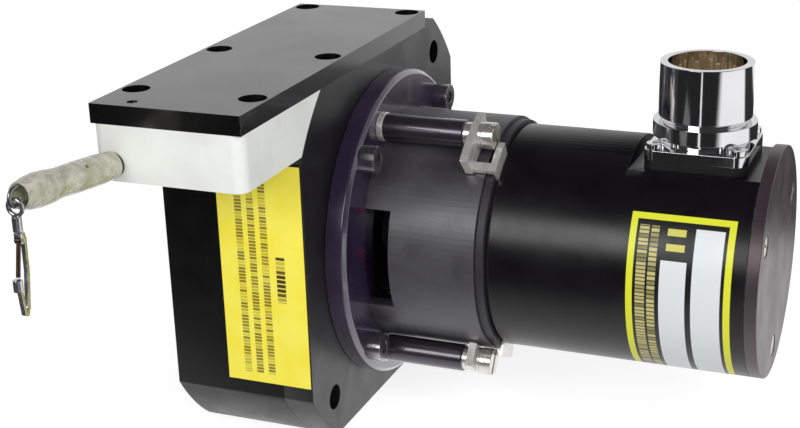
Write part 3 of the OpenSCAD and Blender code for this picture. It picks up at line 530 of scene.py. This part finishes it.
# ---- Wire guide block ----
# White acetal, milled, with a hard steel bush pressed in for the wire and a dowel that
# keeps the bush from turning.
white_plastic = surface(
    "white_plastic", (226, 227, 222), (236, 238, 233), rough=0.5, spread=0.08, grain=0.6 * mm,
    depth=0.004 * mm, cloud=16 * mm,
)
hard_steel = surface(
    "hard_steel", (150, 150, 154), (176, 176, 178), rough=0.25, metallic=1.0, grain=0.2 * mm
)
softened("guide_block", "guide_block_body", white_plastic, edge=0.45 * mm, segments=3)
softened("block_screws", "block_cap_screws", dark_steel, edge=0.15 * mm)
dress(hard_steel, "guide_bush", "dowel_pin", "drum_pin")

# ---- Spring motor ----
# The tray between drum and cover, the coiled steel strip in it and the arbor that it winds on.
plain_aluminium = surface(
    "plain_aluminium", (170, 170, 172), (188, 188, 190), rough=0.34, metallic=1.0, lathe=0.12 * mm
)
spring_steel = surface(
    "spring_steel", (64, 74, 92), (92, 90, 88), rough=0.28, metallic=1.0, grain=0.15 * mm,
    cloud=5 * mm,
)
dress(plain_aluminium, "spring_case", "spring_arbor", "wire_drum")
dress(spring_steel, "power_spring")

# ---- Drum, shaft and bearings ----
# The grooved aluminium drum with its turns of wire, on a ground steel shaft that runs in a
# ball bearing in each wall.
bearing_steel = surface(
    "bearing_steel", (186, 188, 192), (204, 206, 208), rough=0.16, metallic=1.0, spread=0.05,
    lathe=0.08 * mm, depth=0.002 * mm,
)
wire_rope = surface(
    "wire_rope", (142, 143, 146), (176, 176, 176), rough=0.3, metallic=1.0, grain=0.12 * mm,
    cloud=1.5 * mm,
)
dress(bearing_steel, "drum_bearing_outers", "drum_bearing_inners", "drum_bearing_balls")
dress(bearing_steel, "encoder_bearing_outers", "encoder_bearing_inners", "encoder_bearing_balls")
dress(hard_steel, "drum_shaft", "encoder_shaft")
dress(wire_rope, "wound_wire", "draw_wire")

# ---- Bell flange ----
# The round flange on the cover, turned and dyed a deep black that shows violet in the light.
# Its near-white edge colour is a painted glint on the rim's chamfers, with some wear.
black_flange = surface(
    "black_flange", (44, 34, 58), (54, 43, 68), rough=0.2, spread=0.08, lathe=0.3 * mm,
    depth=0.004 * mm, worn_and_glint=(226, 220, 236), worn_and_glint_share=0.7, coat=1.0, shine=1.0, index=1.65,
)
softened("bell_flange", "flange_disc", black_flange, edge=0.6 * mm, segments=4)
# Flange screws: a paler copy of dark_steel. Its light tone and near-white edges partly paint the glints on the
# heads and partly show wear.
grey_steel = surface(
    "grey_steel", (176, 172, 182), (196, 192, 200), rough=0.2, metallic=0.95, spread=0.06,
    grain=0.2 * mm, worn_and_glint=(240, 238, 242), worn_and_glint_share=0.9, slot="dark_steel",
)
softened("flange_screws", "flange_cap_screws", grey_steel, edge=0.2 * mm)

# ---- Bell ring ----
# The short bell between flange and encoder, moulded grey-black, open at both sides so that the
# coupling's screws can be reached.
grey_bell = surface(
    "grey_bell", (58, 56, 62), (70, 68, 74), rough=0.42, spread=0.08, grain=0.5 * mm,
    depth=0.012 * mm, shine=1.0,
)
softened("bell_ring", "bell_body", grey_bell, edge=0.25 * mm, segments=3)

# ---- Posts and servo clamps ----
# Three glossy black stand-offs carry nickel clamps, whose claws grip the encoder's groove.
# A slotted screw and a lock washer hold each.
black_post = surface(
    "black_post", (26, 23, 29), (36, 33, 39), rough=0.28, spread=0.06, lathe=0.2 * mm,
    depth=0.003 * mm, coat=0.9, shine=1.0, cast=(238, 230, 255),
)
nickel_plate = surface(
    "nickel_plate", (226, 220, 213), (240, 234, 228), rough=0.22, metallic=0.85, grain=0.25 * mm,
    cloud=3 * mm, depth=0.012 * mm,
)
pale_nickel = surface(
    "pale_nickel", (234, 230, 225), (246, 243, 240), rough=0.3, metallic=0.68, grain=0.25 * mm,
    cloud=3 * mm, slot="nickel_plate",
)
softened("standoff_posts", "post_rods", black_post, edge=0.25 * mm)
softened("post_washers", "post_washer_rings", pale_nickel, edge=0.2 * mm)
softened("clamp_spacers", "clamp_spacer_rings", nickel_plate, edge=0.12 * mm)
softened("servo_clamps", "clamp_claws", pale_nickel, edge=0.2 * mm)
softened("clamp_screws", "clamp_slot_screws", nickel_plate, edge=0.2 * mm)

# ---- Coupling ----
# Two aluminium hubs with jaws, and the red rubber spider between them that takes up the play.
red_elastomer = surface("red_elastomer", (226, 24, 38), (240, 38, 48), rough=0.42, grain=0.3 * mm)
softened("coupling_hub_drum", "drum_side_hub", plain_aluminium, edge=0.2 * mm)
softened("coupling_hub_encoder", "encoder_side_hub", plain_aluminium, edge=0.2 * mm)
softened("coupling_spider", "spider_star", red_elastomer, edge=0.2 * mm)
dress(dark_steel, "coupling_screws")

# ---- Encoder works ----
# Glass code disc on its brass hub, the read head over it, and the two boards on their pillars.
glass_grain = 0.4 * mm
glass_cloud = 6 * mm
glass_rough = 0.02
glass_spread = 0.05
glass_disc, tree, shader = new_finish("glass_disc")
disc_skin = use_group(
    tree, skin_group, {"Place": object_place(tree), "Grain": glass_grain, "Cloud": glass_cloud}
)
glass_tone = tint(tree, disc_skin["Cloudy"], colour_of(214, 226, 222), colour_of(226, 234, 232))
tree.links.new(glass_tone, shader.inputs["Base Color"])
glass_gloss = calc(tree, "MULTIPLY_ADD", disc_skin["Fine"], glass_spread, glass_rough)
tree.links.new(glass_gloss, shader.inputs["Roughness"])
shader.inputs["Transmission Weight"].default_value = 0.9
brass = surface("brass", (196, 158, 92), (210, 174, 108), rough=0.28, metallic=1.0, lathe=0.1 * mm)
black_plastic = surface("black_plastic", (22, 22, 23), (30, 30, 31), rough=0.5)
circuit_board = surface("circuit_board", (16, 74, 44), (22, 90, 54), rough=0.4, grain=0.5 * mm)
dress(glass_disc, "code_disc")
dress(brass, "disc_hub", "board_pillars")
dress(black_plastic, "read_head")
dress(circuit_board, "sensor_board", "main_board")

# ---- Encoder body ----
# Turned aluminium, anodised satin black: the mounting flange with its clamp groove, and the
# long can with a flat milled for the connector.
black_body = surface(
    "black_body", (11, 8, 12), (15, 12, 16), rough=0.28, spread=0.06, lathe=0.16 * mm,
    depth=0.0025 * mm, worn_and_glint=(130, 126, 130), worn_and_glint_share=0.3, shine=0.45,
)
blasted_body = surface(
    "blasted_body", (44, 41, 46), (52, 49, 54), rough=0.46, spread=0.08, lathe=0.3 * mm,
    slot="black_body",
)
softened("encoder_flange", "encoder_front", blasted_body, edge=0.25 * mm, segments=3)
softened("encoder_shell", "encoder_can", black_body, edge=0.3 * mm, segments=3)

# ---- End cap ----
# The turned lid of the can, a greyer black, held by three small sunk screws.
grey_cap = surface(
    "grey_cap", (50, 42, 46), (58, 50, 54), rough=0.32, spread=0.08, lathe=0.25 * mm,
    depth=0.003 * mm, worn_and_glint=(170, 160, 164), worn_and_glint_share=0.4, shine=1.0, cast=(255, 232, 238),
)
softened("end_cap", "end_lid", grey_cap, edge=0.9 * mm, segments=4)
softened("end_cap_screws", "lid_screws", nickel_plate, edge=0.12 * mm)

# ---- Connector ----
# A chromed brass barrel on a square flange, with a rubber seal under it. Brown plastic in its
# mouth carries twelve gold pins.
black_rubber = surface("black_rubber", (20, 19, 21), (27, 26, 28), rough=0.55, grain=0.3 * mm)
bright_chrome = surface(
    "bright_chrome", (226, 226, 230), (234, 234, 236), rough=0.07, metallic=1.0, spread=0.03,
    grain=0.8 * mm, depth=0.0015 * mm,
)
brown_insert = surface(
    "brown_insert", (232, 188, 124), (244, 206, 146), rough=0.38, grain=0.3 * mm, cloud=3 * mm
)
gold_pins = surface(
    "gold_pins", (252, 232, 176), (254, 240, 196), rough=0.3, metallic=0.45, grain=0.15 * mm
)
softened("connector_gasket", "seal_sheet", black_rubber, edge=0.2 * mm)
softened("connector_shell", "connector_barrel", bright_chrome, edge=0.3 * mm, segments=3)
softened("connector_screws", "connector_corner_screws", bright_chrome, edge=0.12 * mm)
dress(brown_insert, "connector_insert")
dress(gold_pins, "connector_pins")


# ---- Labels ----
# Two printed plastic labels: plain yellow on the housing's front, and black with a yellow
# border and white writing fields round the can. What is printed on them is plain bars.
print_blur = 0.06 * mm
dash_blur = 0.1
dash_from = 0.1
dash_to = 0.86
faint_below = 0.05
full_above = 0.6
faint_ink = 0.4


def band(tree, value, low, high, blur=print_blur):
    """1 between low and high, 0 outside."""
    rise = ease(tree, value, low - blur, low + blur)
    fall = ease(tree, value, high - blur, high + blur, 1.0, 0.0)
    return calc(tree, "MULTIPLY", rise, fall)


def field(tree, across, along, left, right, start, end):
    """1 inside a printed rectangle."""
    return calc(tree, "MULTIPLY", band(tree, across, left, right), band(tree, along, start, end))


def printed_row(tree, across, along, left, right, start, end, dash, seed):
    """A row of dashes of uneven length and ink, as filler in a layout."""
    step = calc(tree, "DIVIDE", calc(tree, "ADD", along, seed), dash)
    chance = tree.nodes.new("ShaderNodeTexWhiteNoise")
    chance.noise_dimensions = "1D"
    tree.links.new(calc(tree, "FLOOR", step), chance.inputs["W"])
    inked = ease(tree, chance.outputs["Value"], faint_below, full_above, faint_ink, 1.0)
    dash_end = band(tree, calc(tree, "FRACT", step), dash_from, dash_to, dash_blur)
    row = field(tree, across, along, left, right, start, end)
    return calc(tree, "MULTIPLY", row, calc(tree, "MULTIPLY", inked, dash_end))


label_yellow = (253, 236, 68)
label_faded = (255, 243, 92)
label_black = (15, 13, 16)
label_ink = (84, 64, 34)
label_white = (222, 226, 228)
label_border = (222, 226, 46)
label_dash = (196, 186, 120)
label_bar = (206, 200, 90)
film_thickness = 0.04 * mm
film_grain = 0.5 * mm
film_cloud = 9 * mm
film_relief = 0.002 * mm
film_rough = 0.3
film_spread = 0.12


def label_finish(name):
    """A smooth plastic film: its tree, its shader, its place and its slow change of tone."""
    finish, tree, shader = new_finish(name)
    place = object_place(tree)
    skin = use_group(tree, skin_group, {"Place": place, "Grain": film_grain, "Cloud": film_cloud})
    relief(tree, shader, skin["Fine"], film_relief)
    gloss = calc(tree, "MULTIPLY_ADD", skin["Cloudy"], film_spread, film_rough)
    tree.links.new(gloss, shader.inputs["Roughness"])
    return finish, tree, shader, place, skin["Cloudy"]


front_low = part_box("front_label")[0]
front_film, tree, shader, place, cloudy = label_finish("yellow_label")
place = split(tree, place)
across = calc(tree, "SUBTRACT", place[0], front_low.x)
along = calc(tree, "SUBTRACT", place[2], front_low.z)
tone = tint(tree, cloudy, colour_of(*label_yellow), colour_of(*label_faded))
row_pitch = 3.3 * mm
row_width = 1.9 * mm
first_row = 4.8 * mm
row_low = 2.5 * mm
row_high = 56 * mm
row_dash = 0.85 * mm
row_ink = 0.8
head_left = 15.2 * mm
head_right = 17.6 * mm
head_low = 22.5 * mm
head_high = 34.5 * mm
head_dash = 1.2 * mm
head_seed = 0.3
row_seed = 0.1
row_seed_step = 0.07
ink = printed_row(tree, across, along, head_left, head_right, head_low, head_high, head_dash, head_seed)
for row in range(3):
    left = first_row + row * row_pitch
    seed = row_seed + row * row_seed_step
    dashes = printed_row(
        tree, across, along, left, left + row_width, row_low, row_high, row_dash, seed
    )
    ink = calc(tree, "MAXIMUM", ink, calc(tree, "MULTIPLY", dashes, row_ink))
tone = tint(tree, ink, tone, colour_of(*label_ink))
tree.links.new(tone, shader.inputs["Base Color"])
softened("front_label", "front_label_film", front_film, edge=film_thickness)

can_low, can_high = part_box("encoder_label")
label_start = math.radians(142)
label_turn = math.radians(95)
film_r = 29.1 * mm
border = 1.6 * mm
label_length = can_high.x - can_low.x
label_height = label_turn * film_r
can_film, tree, shader, place, cloudy = label_finish("yellow_label")
place = split(tree, place)
across = calc(tree, "SUBTRACT", place[0], can_low.x)
up = calc(tree, "SUBTRACT", shaft_axis.z, place[2])
back = calc(tree, "SUBTRACT", shaft_axis.y, place[1])
angle = calc(tree, "ADD", calc(tree, "ARCTAN2", up, back), math.pi - label_start)
down = calc(tree, "MULTIPLY", angle, film_r)
inner = field(tree, across, down, border, label_length - border, border, label_height + border)
tone = tint(tree, inner, colour_of(*label_border), colour_of(*label_black))
end = label_height + border
# Two white fields to write in, two rows of dashes, and two small bars
for left, right, start in ((8.0, 14.2, 11.0), (15.6, 22.4, 2.9)):
    box = field(tree, across, down, left * mm, right * mm, start * mm, end)
    tone = tint(tree, box, tone, colour_of(*label_white))
dashes_start = 3 * mm
for left, right, dash, seed in ((2.3, 4.6, 0.95, 0.2), (5.1, 7.0, 1.15, 0.43)):
    dashes = printed_row(
        tree, across, down, left * mm, right * mm, dashes_start, end, dash * mm, seed
    )
    tone = tint(tree, dashes, tone, colour_of(*label_dash))
bar_left = 9 * mm
bar_right = 13.4 * mm
bar_height = 1.7 * mm
for start in (3.4 * mm, 7.0 * mm):
    bar = field(tree, across, down, bar_left, bar_right, start, start + bar_height)
    tone = tint(tree, bar, tone, colour_of(*label_bar))
tree.links.new(tone, shader.inputs["Base Color"])
softened("encoder_label", "can_label_film", can_film, edge=film_thickness)

# ---- Wire end ----
# The steel rope ends in a thimble loop and a crimped ferrule, under a clear grip sleeve of
# soft plastic that has turned a little green.
sleeve_grain = 0.9 * mm
sleeve_cloud = 3.5 * mm
sleeve_lumps = 0.5 * mm
sleeve_rough = 0.2
sleeve_spread = 0.1
clear_sleeve, tree, shader = new_finish("clear_sleeve")
place = object_place(tree)
skin = use_group(tree, skin_group, {"Place": place, "Grain": sleeve_grain, "Cloud": sleeve_cloud})
sleeve_tone = tint(tree, skin["Cloudy"], colour_of(192, 194, 168), colour_of(233, 229, 216))
tree.links.new(sleeve_tone, shader.inputs["Base Color"])
sleeve_gloss = calc(tree, "MULTIPLY_ADD", skin["Fine"], sleeve_spread, sleeve_rough)
tree.links.new(sleeve_gloss, shader.inputs["Roughness"])
relief(tree, shader, skin["Cloudy"], sleeve_lumps)
shader.inputs["Coat Weight"].default_value = 0.6
shader.inputs["Coat Roughness"].default_value = 0.08
shader.inputs["Transmission Weight"].default_value = 0.3
shader.inputs["Subsurface Weight"].default_value = 0.5
shader.inputs["Subsurface Radius"].default_value = (1.0, 1.0, 0.8)
shader.inputs["Subsurface Scale"].default_value = 2 * mm
shader.inputs["IOR"].default_value = 1.45
crimp_metal = surface(
    "crimp_metal", (120, 112, 100), (150, 140, 126), rough=0.32, metallic=1.0, grain=0.2 * mm,
    cloud=1.5 * mm,
)
softened("wire_sleeve", "grip_sleeve", clear_sleeve, edge=0.3 * mm, segments=3)
dress(crimp_metal, "crimp_ferrule")
dress(wire_rope, "wire_loop")

# ---- Snap hook ----
# A polished stainless swivel hook with a dark bronze gate on a pin.
polished_hook = surface(
    "polished_hook", (196, 196, 204), (222, 222, 226), rough=0.2, metallic=0.95, spread=0.06,
    grain=0.2 * mm, cloud=2 * mm, depth=0.004 * mm,
)
bronze_gate = surface(
    "bronze_gate", (74, 54, 46), (92, 70, 60), rough=0.32, metallic=0.9, grain=0.15 * mm,
    cloud=1.5 * mm,
)
rub_share = 0.5


def melted(node, name, finish, grid, passes):
    """A CAD node skinned on a fine grid and rubbed smooth, as a forged and tumbled part is."""
    piece = softened(node, name, finish, edge=0)
    piece.modifiers.clear()
    skin = piece.modifiers.new("skin", "REMESH")
    skin.mode = "VOXEL"
    skin.voxel_size = grid
    skin.use_smooth_shade = True
    rub = piece.modifiers.new("rub", "SMOOTH")
    rub.factor = rub_share
    rub.iterations = passes
    return piece


skin_grid = 0.09 * mm
melted("hook_body", "hook_wire", polished_hook, grid=skin_grid, passes=6)
melted("hook_eye", "swivel_ring", polished_hook, grid=skin_grid, passes=2)
softened("hook_gate", "gate_lever", bronze_gate, edge=0.15 * mm)
dress(hard_steel, "gate_pin")
